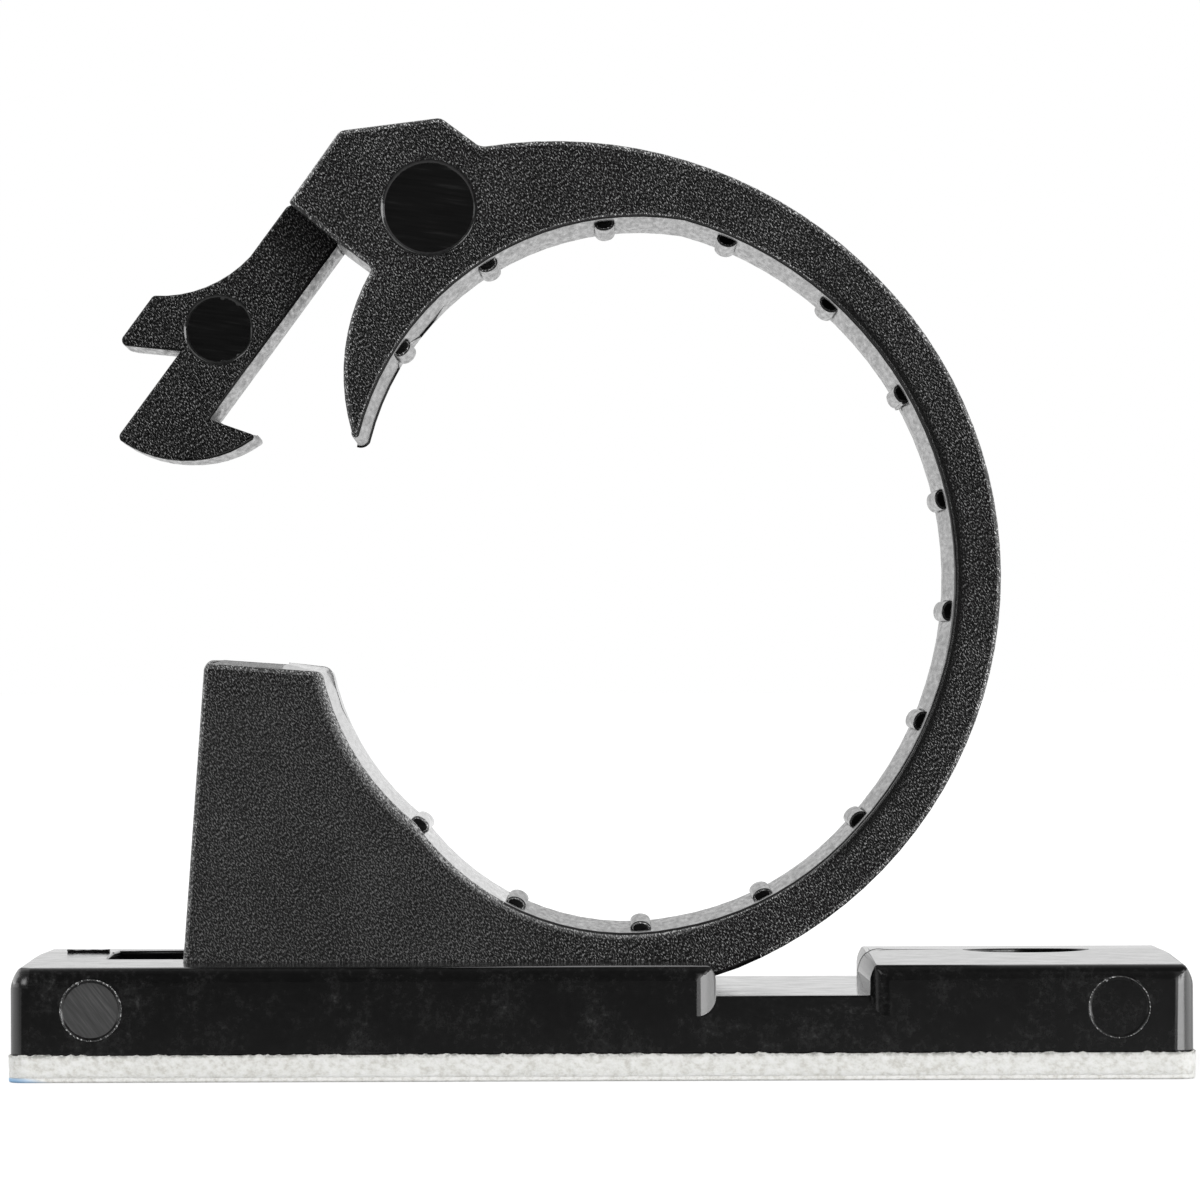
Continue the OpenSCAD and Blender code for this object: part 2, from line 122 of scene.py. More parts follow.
# Half the length that is cut, and the pitch, the depth and the heights of the cuts for the fuzzy edge
TAPE_HALF, TAPE_STEP, TAPE_RIM = 15.0, 0.06, 7.42
TAPE_LEVELS = 0.22, 0.33, 0.44, 0.54, 0.62
# The torn edge lies beyond these places, and the wall of the punched hole within them
TORN_X, TORN_Y = 14.9, 7.4
# Roughness of the torn edge, and the bulge and the tufts at its top
FUZZ, BULGE, TUFT = 0.03, 0.01, 0.05
FILM_ROUNDING = 0.06
# Colours of the foam, from its pits to its fibres
FOAM_TONES = (0.34, (0.68, 0.67, 0.63)), (0.5, (0.83, 0.83, 0.80)), (0.64, (0.90, 0.90, 0.88))

# Camera

# Width of the photograph and shift of its frame, in pixels
PHOTO_WIDTH, SHIFT_RIGHT, SHIFT_UP = 1200.0, -25.0, 32.0
# Place in millimetres, roll in degrees, and width of the sensor and focal length in millimetres
CAMERA_AT, CAMERA_ROLL = (0.62, -250.0, 11.37), 0.2
SENSOR_WIDTH, FOCAL_LENGTH = 36.0, 287.34


# Nodes of a material

def new_material(name):
    """A node material with a Principled shader, and its node tree."""
    material = bpy.data.materials.new(name)
    material.use_nodes = True
    tree = material.node_tree
    return material, tree, tree.nodes["Principled BSDF"]


def add_node(tree, kind, values=None, **settings):
    """A node with its settings and its unlinked inputs."""
    node = tree.nodes.new(kind)
    for key, value in settings.items():
        setattr(node, key, value)
    for key, value in (values or {}).items():
        node.inputs[key].default_value = value
    return node


def millimetres(tree):
    """Object coordinates in millimetres."""
    place = add_node(tree, "ShaderNodeTexCoord")
    scale = add_node(tree, "ShaderNodeVectorMath", {"Scale": 1000.0}, operation="SCALE")
    tree.links.new(place.outputs["Object"], scale.inputs[0])
    return scale.outputs["Vector"]


def stretched(tree, place, angle, size):
    """Coordinates turned in the clamp's plane by an angle and then divided by a size along each axis."""
    node = add_node(tree, "ShaderNodeMapping", {"Rotation": (0.0, math.radians(angle), 0.0), "Scale": size},
                    vector_type="TEXTURE")
    tree.links.new(place, node.inputs["Vector"])
    return node.outputs["Vector"]


def noise_on(tree, place, scale, detail, roughness=0.5):
    """Grey noise at the given coordinates."""
    node = add_node(tree, "ShaderNodeTexNoise", {"Scale": scale, "Detail": detail, "Roughness": roughness})
    tree.links.new(place, node.inputs["Vector"])
    return node.outputs["Fac"]


def ramp(tree, fac, stops):
    """Colour ramp with the given (place, grey or colour) stops."""
    node = add_node(tree, "ShaderNodeValToRGB")
    elements = node.color_ramp.elements
    while len(elements) < len(stops):
        elements.new(0.5)
    for element, (place, colour) in zip(elements, stops):
        element.position = place
        if isinstance(colour, (int, float)):
            colour = (colour, colour, colour)
        element.color = (*colour, 1.0)
    tree.links.new(fac, node.inputs["Fac"])
    return node.outputs["Color"]


def math_node(tree, operation, a, b):
    """A Math node on two sockets or numbers."""
    node = add_node(tree, "ShaderNodeMath", operation=operation)
    for socket, value in zip(node.inputs, (a, b)):
        if isinstance(value, (int, float)):
            socket.default_value = value
        else:
            tree.links.new(value, socket)
    return node.outputs["Value"]


def weighted(tree, first, share, second, other_share):
    """Sum of two sockets, each times its share."""
    return math_node(tree, "ADD", math_node(tree, "MULTIPLY", first, share),
                     math_node(tree, "MULTIPLY", second, other_share))


def blend(tree, fac, first, second):
    """Mix of two colours by a factor."""
    node = add_node(tree, "ShaderNodeMix", data_type="RGBA")
    tree.links.new(fac, node.inputs["Factor"])
    tree.links.new(first, node.inputs["A"])
    tree.links.new(second, node.inputs["B"])
    return node.outputs["Result"]


def axis_share(tree, place, axis, low, high):
    """Share from 0 to 1 of the way between two places along an axis."""
    split = add_node(tree, "ShaderNodeSeparateXYZ")
    tree.links.new(place, split.inputs["Vector"])
    share = add_node(tree, "ShaderNodeMapRange", {"From Min": low, "From Max": high})
    tree.links.new(split.outputs[axis], share.inputs["Value"])
    return share.outputs["Result"]


def distance_share(tree, place, centre, near_r, far_r):
    """Share from 0 to 1 of the way between two distances from a point."""
    away = add_node(tree, "ShaderNodeVectorMath", operation="DISTANCE")
    away.inputs[1].default_value = centre
    tree.links.new(place, away.inputs[0])
    share = add_node(tree, "ShaderNodeMapRange", {"From Min": near_r, "From Max": far_r})
    tree.links.new(away.outputs["Value"], share.inputs["Value"])
    return share.outputs["Result"]


def add_bump(tree, shader, height, strength, distance):
    """Relief in the shading of a surface, with the distance in millimetres."""
    bump = add_node(tree, "ShaderNodeBump", {"Strength": strength, "Distance": distance * MM})
    tree.links.new(height, bump.inputs["Height"])
    tree.links.new(bump.outputs["Normal"], shader.inputs["Normal"])


def set_surface(tree, shader, colour, roughness, level):
    """Links the colour of a surface, and sets its even roughness and specular level."""
    tree.links.new(colour, shader.inputs["Base Color"])
    shader.inputs["Roughness"].default_value = roughness
    shader.inputs["Specular IOR Level"].default_value = level


# Finishes of the moulding

def eroded_plastic(name, bright, roughness, level):
    """Spark-eroded grain with painted glints: wear on the post, a painted highlight at its hollow, smooth
    along a strip of the loop.
    """
    material, tree, shader = new_material(name)
    place = millimetres(tree)
    grain = noise_on(tree, stretched(tree, place, -32.0, (0.66, 1.0, 1.3)), 20.0, 1.5, 0.55)
    cloud = noise_on(tree, place, 0.7, 2.0)
    tone = math_node(tree, "ADD", grain, math_node(tree, "MULTIPLY", cloud, 0.06))
    # The upper stops of these grain ramps are painted glints: bright specks standing in for light caught on
    # the grain's bumps.
    fresh_grain_and_glints = ramp(tree, tone, [(0.45, 0.0015), (0.54, 0.011 * bright), (0.62, 0.075 * bright),
                              (0.71, 0.34 * bright)])
    worn_grain_and_glints = ramp(tree, tone, [(0.43, 0.005), (0.54, 0.022 * bright), (0.71, 0.16 * bright)])
    # Paler grain: painted highlight along the front rim of the post's hollow and the saddle.
    painted_rim_highlight = ramp(tree, tone, [(0.36, 0.03), (0.53, 0.18), (0.70, 0.6)])
    smooth = ramp(tree, tone, [(0.45, 0.002), (0.7, 0.012)])
    off_post = distance_share(tree, place, *WORN_POST)
    off_hollow = distance_share(tree, place, *HOLLOW_HIGHLIGHT)
    off_saddle = distance_share(tree, place, *SADDLE_HIGHLIGHT)
    off_side = distance_share(tree, place, *SMOOTH_SIDE)
    off_strip = math_node(tree, "MAXIMUM", off_side, axis_share(tree, place, "X", STRIP_FULL, STRIP_NONE))
    body = blend(tree, off_strip, smooth, blend(tree, off_post, worn_grain_and_glints, fresh_grain_and_glints))
    off_painted_highlight = math_node(tree, "MULTIPLY", off_hollow, off_saddle)
    set_surface(tree, shader, blend(tree, off_painted_highlight, painted_rim_highlight, body), roughness, level)
    add_bump(tree, shader, grain, 1.0, 0.03)
    return material


def drawn_plastic(name, smooth, rough):
    """Drawn walls and inner rims, which mirror the white room at a low angle, with fine draw marks."""
    material, tree, shader = new_material(name)
    place = millimetres(tree)
    marks = noise_on(tree, stretched(tree, place, 0.0, (0.12, 1.6, 0.12)), 1.0, 3.0, 0.6)
    tree.links.new(ramp(tree, marks, [(0.3, 0.008), (0.7, 0.02)]), shader.inputs["Base Color"])
    tree.links.new(ramp(tree, marks, [(0.3, smooth), (0.7, rough)]), shader.inputs["Roughness"])
    add_bump(tree, shader, marks, 0.3, 0.01)
    return material


def base_side_plastic(name, level):
    """Polished sides of the base, near black, with faint dust and soft clouds."""
    material, tree, shader = new_material(name)
    place = millimetres(tree)
    cloud = noise_on(tree, place, 0.9, 3.0, 0.55)
    dust = noise_on(tree, place, 7.0, 2.0, 0.7)
    tone = weighted(tree, cloud, 0.5, dust, 0.5)
    colour = ramp(tree, tone, [(0.40, 0.002), (0.52, 0.004), (0.62, 0.012), (0.70, 0.034)])
    set_surface(tree, shader, colour, 0.25, level)
    add_bump(tree, shader, dust, 0.1, 0.01)
    return material


def base_top_plastic():
    """Polished top of the base and floor of the relief."""
    material, tree, shader = new_material("base_top_black_plastic")
    place = millimetres(tree)
    cloud = noise_on(tree, place, 1.3, 3.0, 0.6)
    tree.links.new(ramp(tree, cloud, [(0.3, 0.008), (0.7, 0.014)]), shader.inputs["Base Color"])
    tree.links.new(ramp(tree, cloud, [(0.3, 0.11), (0.7, 0.17)]), shader.inputs["Roughness"])
    return material


def pin_mark_plastic():
    """Polished floor of an ejector mark, with faint machining lines."""
    material, tree, shader = new_material("pin_mark_black_plastic")
    place = millimetres(tree)
    lines = noise_on(tree, stretched(tree, place, 8.0, (2.0, 1.0, 0.11)), 1.6, 3.0, 0.6)
    colour = ramp(tree, lines, [(0.35, 0.002), (0.6, 0.005), (0.72, 0.014)])
    set_surface(tree, shader, colour, 0.3, 0.15)
    return material


def scuffed_pin_plastic():
    """Scuffed floor of the ejector mark beside the post, scratched across."""
    material, tree, shader = new_material("scuffed_pin_black_plastic")
    place = millimetres(tree)
    scratches = noise_on(tree, stretched(tree, place, -38.0, (0.045, 1.0, 0.9)), 1.0, 4.0, 0.65)
    colour = ramp(tree, scratches, [(0.3, 0.036), (0.5, 0.05), (0.7, 0.08)])
    set_surface(tree, shader, colour, 0.45, 0.3)
    add_bump(tree, shader, scratches, 0.3, 0.015)
    return material


def clamp_finishes():
    """Materials of the moulding, in the order of their numbers."""
    return [drawn_plastic("drawn_black_plastic", 0.2, 0.38),
            drawn_plastic("inner_rim_black_plastic", 0.08, 0.16),
            eroded_plastic("eroded_black_plastic", 1.0, 0.5, 0.08),
            eroded_plastic("tongue_black_plastic", 0.9, 0.5, 0.06),
            # Outer rims, pin rings and the channel's cheek tops: grain 2.3 times brighter, a painted
            # highlight on these rims.
            eroded_plastic("outer_rim_painted_highlight_plastic", 2.3, 0.35, 0.6),
            base_side_plastic("base_front_black_plastic", 0.24),
            base_side_plastic("base_side_black_plastic", 0.8),
            base_top_plastic(),
            pin_mark_plastic(),
            scuffed_pin_plastic()]


# Finishes of the tape

def foam_finish():
    """Off-white foam, cut with a fuzzy edge, with painted shade along its top under the base."""
    material, tree, shader = new_material("cut_white_foam")
    place = millimetres(tree)
    fuzz = noise_on(tree, stretched(tree, place, 0.0, (1.3, 1.0, 1.0)), 8.0, 3.0, 0.6)
    patches = noise_on(tree, place, 1.1, 2.0)
    tone = weighted(tree, fuzz, 0.85, patches, 0.15)
    light = ramp(tree, tone, FOAM_TONES)
    # A darker foam blended in at the top edge: painted shadow that the base casts on the tape.
    dark = ramp(tree, tone, [(0.42, (0.16, 0.16, 0.15)), (0.56, (0.70, 0.69, 0.65))])
    under_base_shadow = axis_share(tree, place, "Z", 0.60, 0.72)
    set_surface(tree, shader, blend(tree, under_base_shadow, light, dark), 0.85, 0.2)
    add_bump(tree, shader, fuzz, 0.4, 0.05)
    shader.inputs["Subsurface Weight"].default_value = 0.5
    shader.inputs["Subsurface Radius"].default_value = (1.0, 1.0, 1.0)
    shader.inputs["Subsurface Scale"].default_value = 0.3 * MM
    return material


def film_finish():
    """Film under the tape, blue at its peeling end and covered by foam fuzz elsewhere."""
    material, tree, shader = new_material("pale_release_film")
    place = millimetres(tree)
    along = axis_share(tree, place, "X", -15.1, -13.9)
    up = axis_share(tree, place, "Z", 0.0, 0.3)
    inwards = math_node(tree, "ADD", along, up)
    peeling = ramp(tree, inwards, [(0.35, (0.32, 0.55, 0.82)), (0.75, (0.60, 0.72, 0.84))])
    fuzz = noise_on(tree, place, 8.0, 3.0, 0.6)
    covered = ramp(tree, fuzz, FOAM_TONES)
    cover = ramp(tree, inwards, [(0.7, 0.0), (1.0, 1.0)])
    set_surface(tree, shader, blend(tree, cover, peeling, covered), 0.5, 0.3)
    return material


# Meshes

def merged_copy(node):
    """Mesh of a CAD node in millimetres, with its corners welded and its flat faces whole."""
    mesh = bmesh.new()
    mesh.from_mesh(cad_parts[node].data)
    bmesh.ops.scale(mesh, vec=(1 / MM, 1 / MM, 1 / MM), verts=mesh.verts[:])
    bmesh.ops.remove_doubles(mesh, verts=mesh.verts[:], dist=1e-5)
    bmesh.ops.dissolve_limit(mesh, angle_limit=math.radians(0.1), verts=mesh.verts[:], edges=mesh.edges[:])
    mesh.normal_update()
    return mesh


def slice_across(mesh, axis, place, faces=None):
    """Cuts all faces, or the given ones, in the plane at a place along an axis."""
    faces = mesh.faces[:] if faces is None else faces
    edges = list({edge for face in faces for edge in face.edges})
    verts = list({vert for face in faces for vert in face.verts})
    bmesh.ops.bisect_plane(mesh, geom=verts + edges + faces, dist=0.001,
                           plane_co=axis * place, plane_no=axis)


def round_edges(mesh, edges, width, steps, clamp_overlap=False):
    """Rounds the given edges."""
    bmesh.ops.bevel(mesh, geom=edges, offset=width, offset_type="OFFSET", affect="EDGES", segments=steps,
                    profile=0.5, material=-1, clamp_overlap=clamp_overlap)


def corner_normals(mesh, flat, soften):
    """Corner normals: a flat face keeps its own, and a rounding starts from the flat face beside it."""
    like_flat, like_round = math.cos(math.radians(30.0)), math.cos(math.radians(40.0))
    weights = {face: face.normal * face.calc_area() for face in mesh.faces}
    normals = []
    for face in mesh.faces:
        for vert in face.verts:
            if face[flat]:
                normals.append(face.normal.copy())
                continue
            beside = [(other.normal.dot(face.normal), other) for other in vert.link_faces]
            flats = [(turn, other.normal) for turn, other in beside if other[flat] and turn > like_flat]
            rounds = [weights[other] for turn, other in beside if not other[flat] and turn > like_round]
            if flats:
                normal = max(flats, key=lambda pair: pair[0])[1].copy()
            else:
                normal = sum(rounds, Vector()).normalized()
            normals.append(soften(vert.co, normal))
    return normals


def as_it_is(place, normal):
    """Leaves a normal unchanged."""
    return normal


def finish_piece(mesh, name, node, materials, soften=as_it_is):
    """Object made from a mesh in millimetres, standing for a CAD node."""
    flat = mesh.faces.layers.int.new("flat")
    for face in mesh.faces:
        face.smooth = True
        level = max(abs(face.normal.y), abs(face.normal.z)) > 0.99
        # A larger face than this is shaded flat
        rounding_area = 0.7 if level else 3.0
        face[flat] = int(face.calc_area() > rounding_area)
    bmesh.ops.triangulate(mesh, faces=[face for face in mesh.faces if len(face.verts) > 4])
    mesh.normal_update()
    normals = corner_normals(mesh, flat, soften)
    mesh.faces.layers.int.remove(flat)
    bmesh.ops.scale(mesh, vec=(MM, MM, MM), verts=mesh.verts[:])
    data = bpy.data.meshes.new(name)
    mesh.to_mesh(data)
    mesh.free()
    data.normals_split_custom_set(normals)
    for material in materials:
        data.materials.append(material)
    piece = bpy.data.objects.new(name, data)
    scene.collection.objects.link(piece)
    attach(piece, "root")
    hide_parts(node)


# Tests of a place, a face or an edge

def near(value, target):
    """True for two places that are the same but for rounding."""
    return abs(value - target) < 0.004


def faces_front(face):
    """True for a flat face turned to the front or the back."""
    return abs(face.normal.y) > 0.999


def on_ridge(vert):
    """True for a corner on the parting line's ridge."""
    return abs(vert.co.y) < RIDGE_HALF + 0.001


def is_sharp(edge):
    """True for a sharp outer edge away from the ridge."""
    if len(edge.link_faces) != 2 or not edge.is_convex or all(on_ridge(vert) for vert in edge.verts):
        return False
    return edge.calc_face_angle() > SHARP


# Finish of each face

def flat_finish(face):
    """Finish of a flat front or back face, from the plane it lies in."""
    centre = face.calc_center_median()
    depth = abs(face.verts[0].co.y)
    if near(depth, LOOP_FACE):
        return ERODED
    if near(depth, TONGUE_FACE):
        return TONGUE
    if near(depth, BASE_FACE - MARK_DEPTH) and centre.x < 0.0 and centre.y < 0.0:
        return SCUFFED
    return BASE_FRONT if centre.z < BASE_TOP else PIN_MARK


def base_finish(face):
    """Finish of a wall, a top or a rounded rim of the base."""
    centre, normal = face.calc_center_median(), face.normal
    if normal.z > UPWARD:
        return BASE_UP
    in_ball = centre.x < BALL_AT.x and abs(centre.y) > BALL_AT.y and centre.z > BALL_AT.z
    window_corner = centre.x < 0.0 and abs(normal.y) < 0.9
    upright_corner = abs(normal.z) < 0.3 and (normal.x > 0.2 or window_corner)
    shiny = upright_corner or abs(normal.y) < 0.1 or in_ball
    return BASE_SIDE if shiny else BASE_FRONT


def wall_finish(face):
    """Finish of a wall, a top or a rounded rim."""
    centre, normal = face.calc_center_median(), face.normal
    if centre.z < BASE_TOP + SLACK:
        return base_finish(face)
    beside_channel = centre.x < CHANNEL_SIDE and abs(centre.y) > CHEEK_FACE
    if beside_channel and centre.z < POST_HIGH and normal.z > UPWARD:
        return OUTER_RIM_HIGHLIGHT
    on_post = centre.x < POST_FOOT and centre.z < POST_CORNER.z + 0.1
    if abs(normal.y) <= 0.05:
        return INNER_RIM if on_post else WALL
    inward = (LOOP_CENTRE - centre).dot(normal) > 0
    in_mark = any((centre - pin).xz.length < radius + MARK_REACH for pin, radius in LATCH_MARKS)
    if in_mark or inward and not on_post:
        return INNER_RIM
    on_tongue = abs(centre.y) < TONGUE_FACE + SLACK and centre.z > TONGUE_LOW
    return TONGUE if on_tongue else OUTER_RIM_HIGHLIGHT


def soften_base(place, normal):
    """Shading of the base's corners: balls at the window end, soft at the relief, else leaning upwards."""
    side, depth, height = BALL_AT.x - place.x, abs(place.y) - BALL_AT.y, place.z - BALL_AT.z
    if min(side, depth, height) > 0.001 and place.z < BASE_TOP:
        return Vector((-side, math.copysign(depth, place.y), height)).normalized()
    upright = abs(place.y) > CORNER_DEPTH and PLASTIC_Z < place.z < BASE_TOP and abs(normal.z) < 0.2
    if upright and EDGE_START < place.x < EDGE_END and normal.x > 0.001:
        turn = math.radians(EDGE_TURN + EDGE_SWEEP * min((place.x - EDGE_START) / EDGE_LENGTH, 1.0))
        return Vector((math.sin(turn), math.copysign(math.cos(turn), place.y), CORNER_LEAN)).normalized()
    if upright and 0.05 < abs(normal.y) < 0.999 and place.x > 0.0:
        return Vector((normal.x, normal.y, normal.z + CORNER_LEAN)).normalized()
    return normal


# Moulded body

def raise_base_top(mesh):
    """Lifts the top of the base, with its edges, to its full height."""
    for vert in mesh.verts:
        at_pin = any((vert.co - pin).xz.length < PIN_REACH for pin in BASE_PINS)
        on_mark = at_pin and abs(vert.co.y) > BASE_FACE - 0.1
        in_relief = RELIEF_LEFT < vert.co.x < RELIEF_RIGHT
        if vert.co.z < BASE_TOP - BASE_RISE + SLACK and not on_mark and not in_relief:
            vert.co.z += BASE_RISE * min(max((vert.co.z - RISE_FROM) / RISE_OVER, 0.0), 1.0)


def slope_marks(mesh):
    """Draws in the floors of the ejector marks, so that their walls slope."""
    floors = [depth - MARK_DEPTH for depth in (LOOP_FACE, TONGUE_FACE, BASE_FACE)]
    for face in mesh.faces:
        if faces_front(face) and any(near(-face.verts[0].co.y, floor) for floor in floors):
            centre = face.calc_center_bounds()
            for vert in face.verts:
                vert.co += (centre - vert.co).normalized() * MARK_SLOPE


def cut_base_corners(mesh):
    """Cuts round the corners of the base's two blocks, so that the shading of each stays there."""
    for x in CORNER_CUTS:
        slice_across(mesh, X_AXIS, x)
    for side in (-1.0, 1.0):
        ends = [face for face in mesh.faces
                if face.calc_center_median().x < BALL_AT.x + 0.3 and face.normal.z > 0.01]
        slice_across(mesh, Y_AXIS, side * BALL_AT.y, ends)
    upright = [face for face in mesh.faces if abs(face.calc_center_median().x) > -BALL_AT.x
               and abs(face.calc_center_median().y) > BALL_AT.y and abs(face.normal.z) < 0.01]
    slice_across(mesh, Z_AXIS, BALL_AT.z, upright)


def flatten_rib_ends(mesh):
    """Draws the ends of the grip ribs towards the wall of the loop."""
    for face in mesh.faces:
        in_channel = face.calc_center_median().x < POST_CORNER.x
        if not faces_front(face) or not near(abs(face.verts[0].co.y), RIB_FACE) or in_channel:
            continue
        spokes = {vert: (vert.co - LOOP_CENTRE) * (X_AXIS + Z_AXIS) for vert in face.verts}
        wall = max(spoke.length for spoke in spokes.values())
        for vert, spoke in spokes.items():
            vert.co += spoke.normalized() * RIB_DRAW * (wall - spoke.length)


def round_post_corner(mesh):
    """Rounds the top of the post towards the loop, from front to back."""
    edges = []
    for edge in mesh.edges:
        along = (edge.verts[1].co - edge.verts[0].co).normalized()
        away = (edge.verts[0].co + edge.verts[1].co) / 2 - POST_CORNER
        if abs(along.y) > 0.95 and away.xz.length < POST_REACH and edge.calc_face_angle(0.0) > SHARP:
            edges.append(edge)
    round_edges(mesh, edges, POST_ROUNDING, 4)


def raise_cheeks(mesh):
    """Lets the cheeks of the channel rise inwards, level with the wall beside them."""
    for vert in mesh.verts:
        on_cheek = vert.co.x < CHANNEL_SIDE and near(abs(vert.co.y), CHEEK_FACE)
        if on_cheek and POST_LOW < vert.co.z < POST_HIGH:
            vert.co.z += FRONT_CHEEK_RISE if vert.co.y < 0.0 else REAR_CHEEK_RISE
    mesh.normal_update()


def parting_lift(place, way):
    """Lift of the parting line at a place on a wall that faces a given way, and the height of its ridge."""
    if place.z < BASE_TOP + 0.05:
        on_block = BLOCK_LEFT < place.x < BLOCK_RIGHT and place.z > BLOCK_LOW
        fall = END_FALL if abs(place.x) > BASE_END else BLOCK_FALL if on_block else 0.0
        return fall * abs(way.x), BASE_RIDGE if on_block else 0.0
    inside = LOOP_CENTRE - place
    if inside.length < INNER_REACH and inside.dot(way) > 0:
        at_post = place.x < POST_RIGHT and place.z > POST_WALL_LOW
        share = 1.0 - max(way.z, 0.0) if at_post else 1.0
        on_horn = place.x < HORN_RIGHT and place.z > HORN_LOW
        return LOOP_FALL * share, LOOP_RIDGE if on_horn else BASE_RIDGE if at_post else 0.0
    if way.z > UPWARD and place.x < 0.0:
        return 0.0, 0.0
    return WALL_FALL * min((place.z - BASE_TOP) / WALL_FOOT, 1.0), 0.0


def raise_parting_line(mesh):
    """Cuts the walls at the parting line, lets them fall from it and leaves a fine ridge on it."""
    plain = mesh.faces.layers.int.new("plain")
    for face in mesh.faces:
        # Ribs and the latch channel keep their own straight walls
        face[plain] = int(near(max(abs(vert.co.y) for vert in face.verts), RIB_FACE))
    for y in (-RIDGE_HALF, 0.0, RIDGE_HALF):
        slice_across(mesh, Y_AXIS, y)
    mesh.normal_update()
    moves = []
    for vert in mesh.verts:
        in_hole = (vert.co - SCREW_HOLE).xy.length < HOLE_REACH
        if not on_ridge(vert) or in_hole or vert.co.z < PLASTIC_Z + SLACK:
            continue
        if any(face[plain] for face in vert.link_faces):
            continue
        normals = [face.normal for face in vert.link_faces if abs(face.normal.y) < 0.5]
        way = sum(normals, Vector())
        way.y = 0.0
        if way.length < 0.1:
            continue
        way.normalize()
        lift, ridge = parting_lift(vert.co, way)
        if near(vert.co.y, 0.0):
            lift += ridge
        share = min(way.dot(normal) for normal in normals)
        moves.append((vert, way * lift / max(share, 0.6)))
    for vert, move in moves:
        vert.co += move
    mesh.faces.layers.int.remove(plain)
    mesh.normal_update()
    level = [edge for edge in mesh.edges if all(on_ridge(vert) for vert in edge.verts)
             and len(edge.link_faces) == 2 and edge.calc_face_angle() < 0.001]
    bmesh.ops.dissolve_edges(mesh, edges=level, use_verts=True)
    mesh.normal_update()


def rim_width(edge):
    """Rounding of a sharp outer edge, in millimetres."""
    for face, wall in zip(edge.link_faces, reversed(edge.link_faces)):
        if not faces_front(face):
            continue
        depths = [vert.co.y for vert in wall.verts]
        if max(depths) - min(depths) < 2 * MARK_DEPTH:
            return MARK_RIM
        depth = abs(face.verts[0].co.y)
        if near(depth, RIB_FACE):
            return RIB_RIM
        return BASE_RIM if near(depth, BASE_FACE) else LOOP_RIM
    return PLAIN_RIM


def round_rims(mesh):
    """Rounds the sharp outer edges, one width after the other."""
    for width, steps in RIM_STEPS.items():
        rims = [edge for edge in mesh.edges if is_sharp(edge) and rim_width(edge) == width]
        round_edges(mesh, rims, width, steps)
        mesh.normal_update()


def add_pin_ring(mesh, centre, height):
    """Fine uneven ring round the mark of an ejector pin on the front of the base."""
    before = set(mesh.faces)
    start = Matrix.Translation((centre.x + PIN_R, -BASE_FACE, centre.z))
    circle = bmesh.ops.create_circle(mesh, segments=8, radius=height, matrix=start)["verts"]
    edges = list({edge for vert in circle for edge in vert.link_edges})
    bmesh.ops.spin(mesh, geom=circle + edges, cent=centre, axis=Y_AXIS, angle=math.tau, steps=80,
                   use_merge=True)
    ring = [face for face in mesh.faces if face not in before]
    for vert in {vert for face in ring for vert in face.verts}:
        vert.co.y += 0.8 * height * noise.noise(vert.co * 2.9)
    bmesh.ops.recalc_face_normals(mesh, faces=ring)
    for face in ring:
        # The ring takes the outer rims' finish, with its painted highlight.
        face.material_index = OUTER_RIM_HIGHLIGHT


def add_gate_stub(mesh):
    """Ragged stub of the moulding gate on the ridge of the base."""
    before = set(mesh.faces)
    shape = Matrix.Translation(GATE_STUB) @ Matrix.Diagonal((*STUB_SIZE, 1.0))
    block = bmesh.ops.create_cube(mesh, size=1.0, matrix=shape)["verts"]
    edges = list({edge for vert in block for edge in vert.link_edges})
    bmesh.ops.subdivide_edges(mesh, edges=edges, cuts=9, use_grid_fill=True)
    stub = [face for face in mesh.faces if face not in before]
    for vert in {vert for face in stub for vert in face.verts}:
        ragged = noise.noise(Vector((vert.co.x * 4.0, vert.co.y, 0.0))) + 0.7 * noise.noise(vert.co * 11.0)
        vert.co.z += 0.02 * ragged
        vert.co.x += 0.03 * noise.noise(vert.co * 9.0)
    for face in stub:
        face.material_index = BASE_FRONT


def make_clamp_body():
    """The moulding, with its parting line and rounded rims."""
    mesh = merged_copy("clamp_body")
    slice_across(mesh, Z_AXIS, HORN_CUT)
    for x in BARB_CUTS:
        slice_across(mesh, X_AXIS, x)
    post_top = [face for face in mesh.faces
                if face.normal.z > UPWARD and POST_LOW < face.calc_center_median().z < POST_HIGH]
    slice_across(mesh, X_AXIS, CHANNEL_END, post_top)
    raise_base_top(mesh)
    slope_marks(mesh)
    cut_base_corners(mesh)
    flatten_rib_ends(mesh)
    round_post_corner(mesh)
    raise_cheeks(mesh)
    raise_parting_line(mesh)
    round_rims(mesh)
    for face in mesh.faces:
        face.material_index = flat_finish(face) if faces_front(face) else wall_finish(face)
    for centre, height in zip(BASE_PINS, RING_HEIGHTS):
        add_pin_ring(mesh, centre, height)
    add_gate_stub(mesh)
    finish_piece(mesh, "moulded_clamp", "clamp_body", clamp_finishes(), soften_base)


# Tape and film

